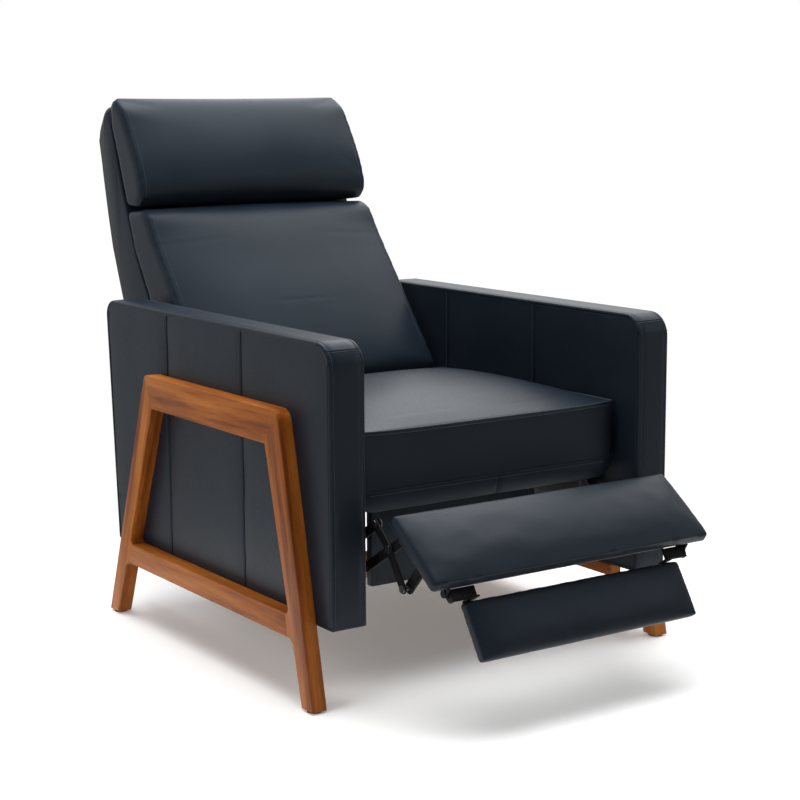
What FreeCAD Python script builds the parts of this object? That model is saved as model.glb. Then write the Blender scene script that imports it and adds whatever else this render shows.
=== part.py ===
import FreeCAD, Part
import math
import os

# Push-back recliner armchair, millimetres.
# X runs across the chair (the sitter's left is +X), -Y is the front, +Z is up.
# Every y below is counted from the front faces of the arms; save() moves the
# finished pieces so that the origin is on the floor, midway between front and rear.

os.makedirs("parts", exist_ok=True)
V = FreeCAD.Vector

# ---- overall sizes -------------------------------------------------------
overall_width = 740.0          # over the two wooden side frames
arm_top = 581.0                # height of the armrests
arm_bottom = 133.0             # underside of the arm boxes
arm_depth = 784.0              # front to back along the armrest
arm_depth_low = 754.0          # front to back along the arm's underside
seat_height = 427.0            # floor to the top seam of the seat cushion
origin_y = 378.0               # arm fronts to the middle of the footprint

# ---- wooden side frames --------------------------------------------------
frame_thickness = 27.2
frame_top = 467.9
top_rail_depth = 58.2
front_foot = (17.1, 50.2)      # y of the two sides of the foot, on the floor
rear_foot = (743.7, 709.7)
front_top_y = 112.7            # outer corner, front leg to top rail
rear_top_y = 574.2
front_inner_y = 153.4          # inner corner under the top rail
rear_inner_y = 549.5
low_rail_bottom = 108.0
low_rail_top = 146.0
front_corner_radius = 24.0     # outer corner, front leg to top rail
rear_corner_radius = 14.0
shoulder = 12.0                # how far a leg reaches along the lower rail
shoulder_radii_front = (9.0, 15.0)   # above and below the lower rail
shoulder_radii_rear = (8.0, 17.0)
glide_radius = 12.0
glide_height = 3.0
bolt_radius = 4.0
bolt_bite = 30.0               # how far a bolt goes into the arm
bolt_depth_in_rail = 18.0

# ---- arms ----------------------------------------------------------------
arm_width = 64.2
arm_wrap = 5.0                 # leather and wadding over the arm's frame
arm_front_radius = 40.0
arm_rear_radius = 30.0
runner_y = (68.0, 700.0)       # wooden runner under each arm
runner_bottom = 112.0
runner_width = 25.0

# ---- planes of the steel work, counted inwards from the arm's inner face --
steel = 3.0                    # thickness of links and plates
link_pitch = 6.0               # from one link's plane to the next one's
plate_gap = 13.6               # arm face to the side plate's outer face
guide_depth = 10.0             # thickness of the guide rail on the arm
groove_depth = 6.0
running = 0.05                 # radial clearance of a rivet in a turning hole
side_gap = 0.4                 # gap under a rivet head on a turning link
rivet_radius = 4.0
rivet_head = 6.5
head_thickness = 2.0

# ---- footrest linkage ----------------------------------------------------
front_rivet = (7.1, -32.2)     # y, and z counted from the deck's top
carrier_angle = 31.5           # degrees above level, running forward
drive_angle = 40.76            # degrees below level, running forward
carrier_length = 85.4
drive_length = 73.3
cross_span = 50.5
ottoman_reach = 34.4
long_reach = 67.05
long_bend = 14.0
link_half_width = 8.0
control_half_width = 10.0      # wider, to keep a wall round its slot
torque_tube_radius = 7.5
slot_top_y = 141.4             # the slot of the carrier link's rear pin
slot_top_z = -101.0
slot_bottom_y = 146.8
slot_bottom_z = -169.5
slot_clearance = 1.3
control_slot = 3.6             # play along the control link at its board end
control_clearance = 2.2        # play across it

# ---- footrest board and flipper ------------------------------------------
board_side_gap = 5.6           # board edge to the arm's inner face
board_rear = (-73.0, -3.0)     # y, and z from the deck's top, of its top rear edge
board_tilt = 36.0
board_length = 136.8
board_thickness = 24.0
board_wood = 9.0
flipper_half_width = 209.0
flipper_rear = (-176.0, -122.0)
flipper_tilt = 58.0
flipper_length = 92.0
flipper_thickness = 22.0
flipper_wood = 8.0
flipper_pivot_along = 128.8    # along the board from its rear edge
flipper_pivot_below = 40.0     # under the board's top face
strap_inset = 19.0             # flipper strap: its inner side inwards of the flipper's end
strap_width = 16.0
wood_inset = 4.0

# ---- seat ----------------------------------------------------------------
seat_front = 50.0
seat_rear = 556.0
cushion_side_gap = 10.6
cushion_seam_drop = 102.0      # top seam to the deck the cushion lies on
cushion_crown = 26.0
deck_thickness = 18.0
deck_rear = 600.0
deck_step_y = 190.0            # in front of this the deck is narrow, for the links
border_depth = 25.0
border_end_depth = 15.0        # the border is shallower over the links
border_thickness = 12.0
kick_front = 150.0
kick_rear = 166.0
kick_half_width = 171.0
kick_height = 162.0
guide_front = 200.0
guide_rear = 560.0
guide_half_height = 20.0
guide_below_deck = 65.0        # groove's middle line under the deck's top
roller_radius = 6.5
roller_clearance = 0.5
roller_y = (262.0, 500.0)
glide_travel = 50.0            # forward travel of the seat as the back reclines

# ---- back ----------------------------------------------------------------
hinge_y = 668.0
hinge_z = -3.0                 # from the deck's top
hinge_radius = 6.0
back_side_gap = 26.6           # shell side to the arm's inner face
pad_side_gap = 27.2
shell_wall = 12.0
post_width = 30.0
post_depth = 24.0

# ---- cross rails of the base ---------------------------------------------
rail_thickness = 22.0
front_rail_y = 205.0
front_rail_z = (145.0, 185.0)
rear_rail_y = 735.0
rear_rail_z = (145.0, 215.0)

# ---- derived planes and heights ------------------------------------------
half_width = overall_width / 2
arm_outer = half_width - frame_thickness
arm_inner = arm_outer - arm_width
plate_outer = arm_inner - plate_gap
plate_inner = plate_outer - steel
deck_top = seat_height - cushion_seam_drop
deck_bottom = deck_top - deck_thickness
guide_z = deck_top - guide_below_deck
board_half_width = arm_inner - board_side_gap
cushion_half_width = arm_inner - cushion_side_gap
shell_half_width = arm_inner - back_side_gap
pad_half_width = arm_inner - pad_side_gap
hinge = (hinge_y, deck_top + hinge_z)
back_bracket_inner = shell_half_width
back_bracket_outer = back_bracket_inner + steel


def plane(index):
    """Inner and outer x of the link plane counted inwards from the side plate."""
    outer = plate_outer - index * link_pitch
    return outer - steel, outer


# ---- small builders ------------------------------------------------------
def save(name, shape):
    """Move a finished piece to the chair's own origin and write it out."""
    piece = shape.copy()
    piece.translate(V(0, -origin_y, 0))
    piece.exportStep("parts/%s.step" % name)


def block(x0, x1, y0, y1, z0, z1):
    return Part.makeBox(x1 - x0, y1 - y0, z1 - z0, V(x0, y0, z0))


def slab(points, x0, x1):
    """A plate with the given (y, z) outline, from x0 to x1."""
    corners = [V(x0, y, z) for y, z in points]
    wire = Part.makePolygon(corners + corners[:1])
    return Part.Face(wire).extrude(V(x1 - x0, 0, 0))


def rod(x0, x1, point, radius):
    return Part.makeCylinder(radius, x1 - x0, V(x0, point[0], point[1]), V(1, 0, 0))


def fused(pieces):
    body = pieces[0]
    if len(pieces) > 1:
        body = body.multiFuse(pieces[1:])
    return body.removeSplitter()


def mirrored(shape):
    return shape.mirror(V(0, 0, 0), V(1, 0, 0))


def both(shape):
    return Part.makeCompound([shape, mirrored(shape)])


def save_pair(name, shape):
    """The piece on the sitter's left is +X; its twin is the mirror image."""
    save("left_" + name, shape)
    save("right_" + name, mirrored(shape))


def rounded(shape, corner, radius):
    """Round the edge that runs along X through the given (y, z) corner."""
    edges = []
    for edge in shape.Edges:
        ends = [vertex.Point for vertex in edge.Vertexes]
        if len(ends) != 2:
            continue
        near = all(math.hypot(p.y - corner[0], p.z - corner[1]) < 0.5 for p in ends)
        if near:
            edges.append(edge)
    return shape.makeFillet(radius, edges)


def strip(points, half, x0, x1):
    """A flat bar with round ends that follows a line of (y, z) points."""
    pieces = [rod(x0, x1, p, half) for p in points]
    for (y0, z0), (y1, z1) in zip(points, points[1:]):
        length = math.hypot(y1 - y0, z1 - z0)
        sy = -(z1 - z0) / length * half
        sz = (y1 - y0) / length * half
        outline = [(y0 + sy, z0 + sz), (y1 + sy, z1 + sz), (y1 - sy, z1 - sz), (y0 - sy, z0 - sz)]
        pieces.append(slab(outline, x0, x1))
    return fused(pieces)


def slotted(start, end, half, x0, x1):
    return strip([start, end], half, x0, x1)


def rivet(inner, outer, point, holder_is_outer):
    """A rivet through two plates: a shank and two heads, fast in its holder."""
    inner_face = inner[0]
    outer_face = outer[1]
    if holder_is_outer:
        inner_face -= side_gap
    else:
        outer_face += side_gap
    shank = rod(inner_face, outer_face, point, rivet_radius)
    low = rod(inner_face - head_thickness, inner_face, point, rivet_head)
    high = rod(outer_face, outer_face + head_thickness, point, rivet_head)
    return fused([low, shank, high])


def hole(bounds, point, radius):
    return rod(bounds[0] - 1, bounds[1] + 1, point, radius)


# ---- geometry of the footrest linkage ------------------------------------
def ahead(point, angle, length):
    """From a (y, z) point, forward and up by an angle in degrees."""
    a = math.radians(angle)
    return point[0] - length * math.cos(a), point[1] + length * math.sin(a)


P_FRONT = (front_rivet[0], deck_top + front_rivet[1])
P_CROSS = ahead(P_FRONT, carrier_angle, -carrier_length)
P_GROUND = ahead(P_CROSS, -drive_angle, -drive_length)
P_SLOT = ahead(P_CROSS, carrier_angle, -drive_length)
P_LOW = ahead(P_CROSS, -drive_angle, cross_span)
P_MIDDLE = ahead(P_FRONT, -drive_angle, cross_span)
P_OTTOMAN = ahead(P_MIDDLE, carrier_angle, ottoman_reach)
P_TAIL = ahead(P_MIDDLE, -drive_angle - long_bend, long_reach)

PLATE = plane(0)
DRIVE = plane(1)
CARRIER = plane(2)
CONTROL = plane(3)
BRACKET = plane(4)
FLIPPER = (plane(4)[0] - 5.0, plane(4)[0] - 2.0)


def on_panel(rear, tilt, along, below):
    """(y, z) of a point along a tilted panel and under its top face."""
    a = math.radians(tilt)
    y = rear[0] - along * math.cos(a) + below * math.sin(a)
    z = rear[1] - along * math.sin(a) - below * math.cos(a)
    return y, z


BOARD_REAR = (board_rear[0], deck_top + board_rear[1])
FLIPPER_REAR = (flipper_rear[0], deck_top + flipper_rear[1])


def on_board(along, below):
    return on_panel(BOARD_REAR, board_tilt, along, below)


def on_flipper(along, below):
    return on_panel(FLIPPER_REAR, flipper_tilt, along, below)


P_FLIP = on_board(flipper_pivot_along, flipper_pivot_below)
control_along = 70.6
control_below = 53.5
P_CONTROL = on_board(control_along, control_below)


# ---- wooden side frames: two legs, a top rail and a lower rail each -------
def towards(start, end):
    length = math.hypot(end[0] - start[0], end[1] - start[1])
    return (end[0] - start[0]) / length, (end[1] - start[1]) / length


def web(corner, d1, d2, radius, x0, x1):
    """What lies between a corner of two straight edges and the arc that rounds it."""
    half = math.acos(d1[0] * d2[0] + d1[1] * d2[1]) / 2
    reach = radius / math.tan(half)
    middle = towards((0, 0), (d1[0] + d2[0], d1[1] + d2[1]))
    out = radius / math.sin(half)
    centre = (corner[0] + middle[0] * out, corner[1] + middle[1] * out)
    back = (corner[0] - middle[0], corner[1] - middle[1])
    first = (corner[0] + d1[0] * reach, corner[1] + d1[1] * reach)
    second = (corner[0] + d2[0] * reach, corner[1] + d2[1] * reach)
    return slab([back, first, centre, second], x0, x1).cut(rod(x0, x1, centre, radius))


def leg(foot, outer, inner, radii, rail_way):
    """A tapered leg with a rounded shoulder on each side of the lower rail's end."""
    x0 = arm_outer
    x1 = half_width
    low_inner = (foot[1], glide_height)
    shape = slab([(foot[0], glide_height), low_inner, inner, outer], x0, x1)
    up = towards(low_inner, inner)
    ends = []
    for z in (low_rail_bottom, low_rail_top):
        ends.append((foot[1] + (inner[0] - foot[1]) * (z - glide_height) / (inner[1] - glide_height), z))
    bottom, top = ends
    block_outline = [(bottom[0] - rail_way, bottom[1]), (bottom[0] + rail_way * shoulder, bottom[1]),
                     (top[0] + rail_way * shoulder, top[1]), (top[0] - rail_way, top[1])]
    pieces = [shape, slab(block_outline, x0, x1)]
    pieces.append(web(top, up, (rail_way, 0), radii[0], x0, x1))
    pieces.append(web(bottom, (-up[0], -up[1]), (rail_way, 0), radii[1], x0, x1))
    return fused(pieces), bottom, top


def side_frame():
    x0 = arm_outer
    x1 = half_width
    under = frame_top - top_rail_depth
    front_outer = (front_top_y, frame_top)
    rear_outer = (rear_top_y, frame_top)
    front_inner = (front_inner_y, under)
    rear_inner = (rear_inner_y, under)
    front_leg, front_low, front_high = leg(front_foot, front_outer, front_inner, shoulder_radii_front, 1)
    rear_leg, rear_low, rear_high = leg(rear_foot, rear_outer, rear_inner, shoulder_radii_rear, -1)
    top_rail = slab([front_outer, front_inner, rear_inner, rear_outer], x0, x1)
    lower_rail = slab([(front_low[0] + shoulder, front_low[1]), (front_high[0] + shoulder, front_high[1]),
                       (rear_high[0] - shoulder, rear_high[1]), (rear_low[0] - shoulder, rear_low[1])], x0, x1)
    down = towards(front_outer, (front_foot[0], glide_height))
    front_round = web(front_outer, down, (1, 0), front_corner_radius, x0 - 1, x1 + 1)
    down = towards(rear_outer, (rear_foot[0], glide_height))
    rear_round = web(rear_outer, down, (-1, 0), rear_corner_radius, x0 - 1, x1 + 1)
    front_leg = front_leg.cut(front_round)
    rear_leg = rear_leg.cut(rear_round)
    top_rail = top_rail.cut(front_round).cut(rear_round)
    return front_leg, rear_leg, top_rail, lower_rail


def frame_bolt_points():
    """(y, z) of the four hidden bolts that hold a side frame to its arm."""
    rail_middle = frame_top - top_rail_depth / 2
    return [(front_inner_y + 40, rail_middle), (rear_inner_y - 40, rail_middle),
            (75.0, 200.0), (660.0, 200.0)]


def frame_bolts():
    pieces = []
    for point in frame_bolt_points():
        pieces.append(rod(arm_outer - bolt_bite, arm_outer + bolt_depth_in_rail, point, bolt_radius))
    return pieces


def foot_glides():
    pieces = []
    for foot in (front_foot, rear_foot):
        middle = (foot[0] + foot[1]) / 2
        x = arm_outer + frame_thickness / 2
        pieces.append(Part.makeCylinder(glide_radius, glide_height, V(x, middle, 0)))
    return Part.makeCompound(pieces)


# ---- arms ----------------------------------------------------------------
def arm_outline(inset, bottom):
    lean = (arm_depth - arm_depth_low) / (arm_top - arm_bottom)
    low_y = arm_depth_low - inset + lean * (bottom - arm_bottom)
    return [(inset, bottom), (low_y, bottom), (arm_depth - inset, arm_top - inset), (inset, arm_top - inset)]


def arm_block(inset, bottom):
    outline = arm_outline(inset, bottom)
    arm = slab(outline, arm_inner + inset, arm_outer - inset)
    arm = rounded(arm, outline[3], arm_front_radius - inset)
    return rounded(arm, outline[2], arm_rear_radius - inset)


def arm_pieces():
    """A frame wrapped on five sides; the wrap is open underneath."""
    bolts = frame_bolts()
    core = arm_block(arm_wrap, arm_bottom)
    cover = arm_block(0, arm_bottom).cut(core)
    for bolt in bolts:
        core = core.cut(bolt)
        cover = cover.cut(bolt)
    return core, cover


# ---- seat carriage -------------------------------------------------------
def side_plate():
    """Steel plate that carries the linkage in front and the back's hinge behind."""
    d = deck_top
    outline = [(118, d - 18), (122, d - 184), (172, d - 184), (178, d - 87), (630, d - 87),
               (690, d - 28), (690, d + 21), (646, d + 21), (618, d - 18)]
    plate = slab(outline, PLATE[0], PLATE[1])
    cuts = [slotted((slot_top_y, d + slot_top_z), (slot_bottom_y, d + slot_bottom_z),
                    rivet_radius + slot_clearance, PLATE[0] - 1, PLATE[1] + 1)]
    cuts.append(hole(PLATE, P_GROUND, rivet_radius))
    cuts.append(hole(PLATE, hinge, hinge_radius))
    for y in roller_y:
        cuts.append(hole(PLATE, (y, guide_z), rivet_radius))
    for cut in cuts:
        plate = plate.cut(cut)
    return plate


def glide_rollers():
    """Rollers on short axles that run in the grooves of the guide rails."""
    pieces = []
    for y in roller_y:
        point = (y, guide_z)
        axle = rod(PLATE[0], PLATE[1], point, rivet_radius)
        wheel = rod(PLATE[1], arm_inner - guide_depth + groove_depth - 1.0, point, roller_radius)
        pieces.append(fused([axle, wheel]))
    return Part.makeCompound(pieces)


def guide_rail():
    """Grooved rail screwed to the inside of an arm."""
    x0 = arm_inner - guide_depth
    rail = block(x0, arm_inner, guide_front, guide_rear, guide_z - guide_half_height, guide_z + guide_half_height)
    reach = roller_radius + roller_clearance
    front = roller_y[0] - glide_travel
    rear = roller_y[1]
    groove = slotted((front, guide_z), (rear, guide_z), reach, x0 - 1, x0 + groove_depth)
    return rail.cut(groove)


def seat_deck():
    """Plywood deck, narrow in front where the links rise beside it."""
    narrow = BRACKET[0] - 8.0
    front = seat_front + border_thickness
    wide = block(-PLATE[0], PLATE[0], deck_step_y, deck_rear, deck_bottom, deck_top)
    tongue = block(-narrow, narrow, front, deck_step_y, deck_bottom, deck_top)
    return fused([wide, tongue])


def seat_border():
    """Leather-covered strip under the cushion's front edge, cut away over the links."""
    narrow = BRACKET[0] - 8.0
    rear = seat_front + border_thickness
    full = block(-cushion_half_width, cushion_half_width, seat_front, rear, deck_top - border_end_depth, deck_top)
    low = block(-narrow, narrow, seat_front, rear, deck_top - border_depth, deck_top)
    return fused([full, low])


def seat_cushion():
    x = cushion_half_width
    top = seat_height + cushion_crown
    cushion = block(-x, x, seat_front, seat_rear, deck_top, top)
    upper = [e for e in cushion.Edges if abs(e.CenterOfMass.z - top) < 0.1]
    return cushion.makeFillet(cushion_crown - 1.0, upper)


def kick_panel():
    """Leather-wrapped panel that hangs from the deck behind the footrest."""
    x = kick_half_width
    panel = block(-x, x, kick_front, kick_rear, deck_bottom - kick_height, deck_bottom)
    upright = [e for e in panel.Edges if abs(e.Vertexes[0].Point.z - e.Vertexes[1].Point.z) > 1]
    return panel.makeFillet(3.0, upright)


# ---- back ----------------------------------------------------------------
def back_point(y, z):
    """A (y, z) point of the back, with z counted from the seat's top seam."""
    return y, seat_height + z


front_line = [back_point(665, -127), back_point(703, -25), back_point(789, 150),
              back_point(839, 230), back_point(889, 349), back_point(908, 408),
              back_point(930, 464), back_point(935, 505)]
rear_line = [back_point(985, 488), back_point(984, 442), back_point(973, 375),
             back_point(956, 298), back_point(940, 237), back_point(923, 193),
             back_point(900, 136), back_point(795, -127)]


def back_shell():
    """Leather-covered shell: a back and two sides, open in front and below."""
    x = shell_half_width
    wall = shell_wall
    crest = [back_point(942, 519), back_point(968, 516)]
    outer = slab(front_line + crest + rear_line, -x, x)
    inside_rear = [(y - wall, z) for y, z in rear_line]
    inside_rear[0] = (inside_rear[0][0], inside_rear[0][1] - 4.0)
    last = inside_rear[-1]
    inside_rear[-1] = (last[0] - 5.0, last[1] - 10.0)
    inside_front = [(y - 60, z) for y, z in front_line]
    inside_front[0] = (inside_front[0][0], inside_front[0][1] - 10.0)
    inside_front[-1] = back_point(900, 490)
    cavity = slab(inside_front + inside_rear, -x + wall, x - wall)
    return outer.cut(cavity)


def back_posts():
    """Upright wooden posts inside the shell, one against each side wall."""
    x1 = shell_half_width - shell_wall
    line = front_line[1:]
    line = line[:-2] + [back_point(930, 464), back_point(932, 480)]
    outline = [(y + 2, z) for y, z in line] + [(y + 2 + post_depth, z) for y, z in reversed(line)]
    return both(slab(outline, x1 - post_width, x1))


def back_rails():
    """Cross rails that join the posts."""
    x = shell_half_width - shell_wall - post_width
    pieces = []
    for y, z in (back_point(732, -18), back_point(828, 160), back_point(922, 390)):
        pieces.append(block(-x, x, y, y + post_depth * 0.75, z, z + 45.0))
    return Part.makeCompound(pieces)


def back_bracket():
    """Steel ear on the shell's side; the hinge pin turns in it."""
    y, z = hinge
    outline = [(y - 18, z - 18), (y + 34, z - 18), (y + 92, z + 98), (y + 50, z + 118), (y - 18, z + 20)]
    ear = slab(outline, back_bracket_inner, back_bracket_outer)
    return ear.cut(hole((back_bracket_inner, back_bracket_outer), hinge, hinge_radius + running))


def hinge_pins():
    """Shouldered pins fast in the side plates."""
    shank = rod(back_bracket_inner + side_gap, PLATE[1], hinge, hinge_radius)
    head = rod(PLATE[1], PLATE[1] + head_thickness, hinge, hinge_radius + 3.0)
    return both(fused([shank, head]))


def lumbar_cushion():
    x = pad_half_width
    outline = [back_point(566, -24), back_point(562, 6), back_point(668, 145),
               back_point(757, 262), back_point(784, 305), back_point(806, 316),
               back_point(868, 310), back_point(838, 230), back_point(787, 149.5),
               back_point(701, -24)]
    return slab(outline, -x, x)


def head_pillow():
    x = pad_half_width
    outline = [back_point(826, 318), back_point(809, 338), back_point(808, 360),
               back_point(824, 402), back_point(852, 450), back_point(884, 500),
               back_point(918, 520), back_point(933, 508), back_point(929, 464),
               back_point(905, 406), back_point(884, 349), back_point(872, 318)]
    return slab(outline, -x, x)


# ---- footrest ------------------------------------------------------------
def panel_block(at, half, length, top, bottom, inset):
    outline = [at(inset, top), at(length - inset, top), at(length - inset, bottom), at(inset, bottom)]
    return slab(outline, -half + inset, half - inset)


def links():
    """The five links of one side, each with the holes its neighbours turn in."""
    turning = rivet_radius + running
    drive = strip([P_GROUND, P_CROSS, P_LOW], link_half_width, DRIVE[0], DRIVE[1])
    drive = drive.cut(hole(DRIVE, P_GROUND, turning))
    drive = drive.cut(hole(DRIVE, P_CROSS, rivet_radius))
    drive = drive.cut(hole(DRIVE, P_LOW, turning))
    carrier = strip([P_SLOT, P_CROSS, P_FRONT], link_half_width, CARRIER[0], CARRIER[1])
    carrier = carrier.cut(hole(CARRIER, P_CROSS, turning))
    carrier = carrier.cut(hole(CARRIER, P_SLOT, rivet_radius))
    carrier = carrier.cut(hole(CARRIER, P_FRONT, rivet_radius))
    long_link = strip([P_FRONT, P_MIDDLE, P_TAIL], link_half_width, DRIVE[0], DRIVE[1])
    long_link = long_link.cut(hole(DRIVE, P_FRONT, turning))
    long_link = long_link.cut(hole(DRIVE, P_MIDDLE, rivet_radius))
    long_link = long_link.cut(hole(DRIVE, P_TAIL, rivet_radius))
    ottoman = strip([P_LOW, P_MIDDLE, P_OTTOMAN], link_half_width, CARRIER[0], CARRIER[1])
    ottoman = ottoman.cut(hole(CARRIER, P_MIDDLE, turning))
    ottoman = ottoman.cut(hole(CARRIER, P_LOW, rivet_radius))
    ottoman = ottoman.cut(hole(CARRIER, P_OTTOMAN, rivet_radius))
    control = strip([P_TAIL, P_CONTROL], control_half_width, CONTROL[0], CONTROL[1])
    control = control.cut(hole(CONTROL, P_TAIL, turning))
    reach_y = P_CONTROL[0] - P_TAIL[0]
    reach_z = P_CONTROL[1] - P_TAIL[1]
    reach = math.hypot(reach_y, reach_z)
    near = (P_CONTROL[0] - reach_y / reach * control_slot / 2, P_CONTROL[1] - reach_z / reach * control_slot / 2)
    far = (P_CONTROL[0] + reach_y / reach * control_slot / 2, P_CONTROL[1] + reach_z / reach * control_slot / 2)
    play = slotted(near, far, rivet_radius + control_clearance, CONTROL[0] - 1, CONTROL[1] + 1)
    control = control.cut(play)
    return drive, carrier, long_link, ottoman, control


def ground_pins():
    """Pins fast in the side plates that the drive links turn on."""
    shank = rod(DRIVE[0] + side_gap, PLATE[1], P_GROUND, rivet_radius)
    head = rod(PLATE[1], PLATE[1] + head_thickness, P_GROUND, rivet_head)
    return both(fused([shank, head]))


def carrier_rivets():
    front = rivet(CARRIER, DRIVE, P_FRONT, False)
    slot_pin = rod(CARRIER[0] - head_thickness, PLATE[1] + side_gap, P_SLOT, rivet_radius)
    slot_heads = [rod(CARRIER[0] - head_thickness, CARRIER[0], P_SLOT, rivet_head),
                  rod(PLATE[1] + side_gap, PLATE[1] + side_gap + head_thickness, P_SLOT, rivet_head)]
    return Part.makeCompound([both(front), both(fused([slot_pin] + slot_heads))])


def long_link_rivets():
    middle = rivet(CARRIER, DRIVE, P_MIDDLE, True)
    tail = rivet(CONTROL, DRIVE, P_TAIL, True)
    return Part.makeCompound([both(middle), both(tail)])


def ottoman_link_rivets():
    low = rivet(CARRIER, DRIVE, P_LOW, False)
    board = rivet(BRACKET, CARRIER, P_OTTOMAN, True)
    return Part.makeCompound([both(low), both(board)])


def board_rivets():
    control = rivet(BRACKET, CONTROL, P_CONTROL, False)
    flip = rivet(FLIPPER, BRACKET, P_FLIP, True)
    return Part.makeCompound([both(control), both(flip)])


def ottoman_bracket():
    """Steel web under the footrest board that takes its three pivots."""
    t = board_thickness
    along = flipper_pivot_along
    below = flipper_pivot_below
    outline = [on_board(5, t), on_board(along + 6, t), on_board(along + 7, below + 3),
               on_board(along, below + 8), on_board(along - 8, below + 3), on_board(along - 20, below - 6),
               on_board(control_along + 9, control_below + 6), on_board(control_along - 2, control_below + 9),
               on_board(control_along - 12, control_below + 4), on_board(26, 51), on_board(8, 50), on_board(5, 40)]
    web = slab(outline, BRACKET[0], BRACKET[1])
    flange_outline = [on_board(12, t), on_board(108, t), on_board(108, t + steel), on_board(12, t + steel)]
    flange = slab(flange_outline, BRACKET[0] - 3 * steel, BRACKET[0])
    web = fused([web, flange])
    web = web.cut(hole(BRACKET, P_OTTOMAN, rivet_radius + running))
    web = web.cut(hole(BRACKET, P_CONTROL, rivet_radius))
    return web.cut(hole(BRACKET, P_FLIP, rivet_radius))


def flipper_bracket():
    """Cranked strap: a lug on the pivot, a flat bar that steps inwards, and a foot under the flipper."""
    t = flipper_thickness
    inner = flipper_half_width - strap_inset
    lug = strip([P_FLIP, on_flipper(-12, 10)], link_half_width, FLIPPER[0], FLIPPER[1])
    bar = slab([on_flipper(-24, 3), on_flipper(-4, 3), on_flipper(-4, 3 + steel), on_flipper(-24, 3 + steel)],
               inner, FLIPPER[1])
    drop = slab([on_flipper(-4 - steel, -3), on_flipper(-4, -3), on_flipper(-4, t + steel),
                 on_flipper(-4 - steel, t + steel)], inner, inner + strap_width)
    foot = slab([on_flipper(-4 - steel, t), on_flipper(70, t), on_flipper(70, t + steel),
                 on_flipper(-4 - steel, t + steel)], inner, inner + strap_width)
    strap = fused([lug, bar, drop, foot])
    return strap.cut(hole(FLIPPER, P_FLIP, rivet_radius + running))


def build():
    front_leg, rear_leg, top_rail, lower_rail = side_frame()
    bolts = frame_bolts()
    for bolt in bolts:
        front_leg = front_leg.cut(bolt)
        rear_leg = rear_leg.cut(bolt)
        top_rail = top_rail.cut(bolt)
    save_pair("front_leg", front_leg)
    save_pair("rear_leg", rear_leg)
    save_pair("top_rail", top_rail)
    save_pair("lower_rail", lower_rail)
    save("frame_bolts", both(Part.makeCompound(bolts)))
    save("foot_glides", both(foot_glides()))

    core, cover = arm_pieces()
    save_pair("arm_frame", core)
    save_pair("arm_cover", cover)
    save_pair("arm_runner", block(arm_inner, arm_inner + runner_width, runner_y[0], runner_y[1], runner_bottom, arm_bottom))
    save_pair("guide_rail", guide_rail())
    save("front_cross_rail", block(-arm_inner, arm_inner, front_rail_y, front_rail_y + rail_thickness,
                                   front_rail_z[0], front_rail_z[1]))
    save("rear_cross_rail", block(-arm_inner, arm_inner, rear_rail_y, rear_rail_y + rail_thickness * 0.8,
                                  rear_rail_z[0], rear_rail_z[1]))

    save_pair("side_plate", side_plate())
    save("glide_rollers", both(glide_rollers()))
    save("ground_pins", ground_pins())
    save("hinge_pins", hinge_pins())
    save("seat_deck", seat_deck())
    save("seat_border", seat_border())
    save("kick_panel", kick_panel())
    save("seat_cushion", seat_cushion())

    save("back_shell", back_shell())
    save("back_posts", back_posts())
    save("back_rails", back_rails())
    save_pair("back_bracket", back_bracket())
    save("lumbar_cushion", lumbar_cushion())
    save("head_pillow", head_pillow())

    drive, carrier, long_link, ottoman, control = links()
    save_pair("drive_link", drive)
    save_pair("carrier_link", carrier)
    save_pair("long_link", long_link)
    save_pair("ottoman_link", ottoman)
    save_pair("control_link", control)
    save("torque_tube", rod(-DRIVE[0], DRIVE[0], P_GROUND, torque_tube_radius))
    save("drive_rivets", both(rivet(CARRIER, DRIVE, P_CROSS, True)))
    save("carrier_rivets", carrier_rivets())
    save("long_link_rivets", long_link_rivets())
    save("ottoman_link_rivets", ottoman_link_rivets())
    save("board_rivets", board_rivets())

    save_pair("ottoman_bracket", ottoman_bracket())
    skin = board_thickness - board_wood
    save("footrest_board", panel_block(on_board, board_half_width, board_length, skin, board_thickness, wood_inset))
    save("footrest_pad", panel_block(on_board, board_half_width, board_length, 0, skin, 0))
    save_pair("flipper_bracket", flipper_bracket())
    skin = flipper_thickness - flipper_wood
    save("flipper_board", panel_block(on_flipper, flipper_half_width, flipper_length, skin, flipper_thickness,
                                      wood_inset))
    save("flipper_pad", panel_block(on_flipper, flipper_half_width, flipper_length, 0, skin, 0))


build()
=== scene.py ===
import math

import bmesh
import bpy
from mathutils import Matrix, Vector, noise
from mathutils.bvhtree import BVHTree


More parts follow.
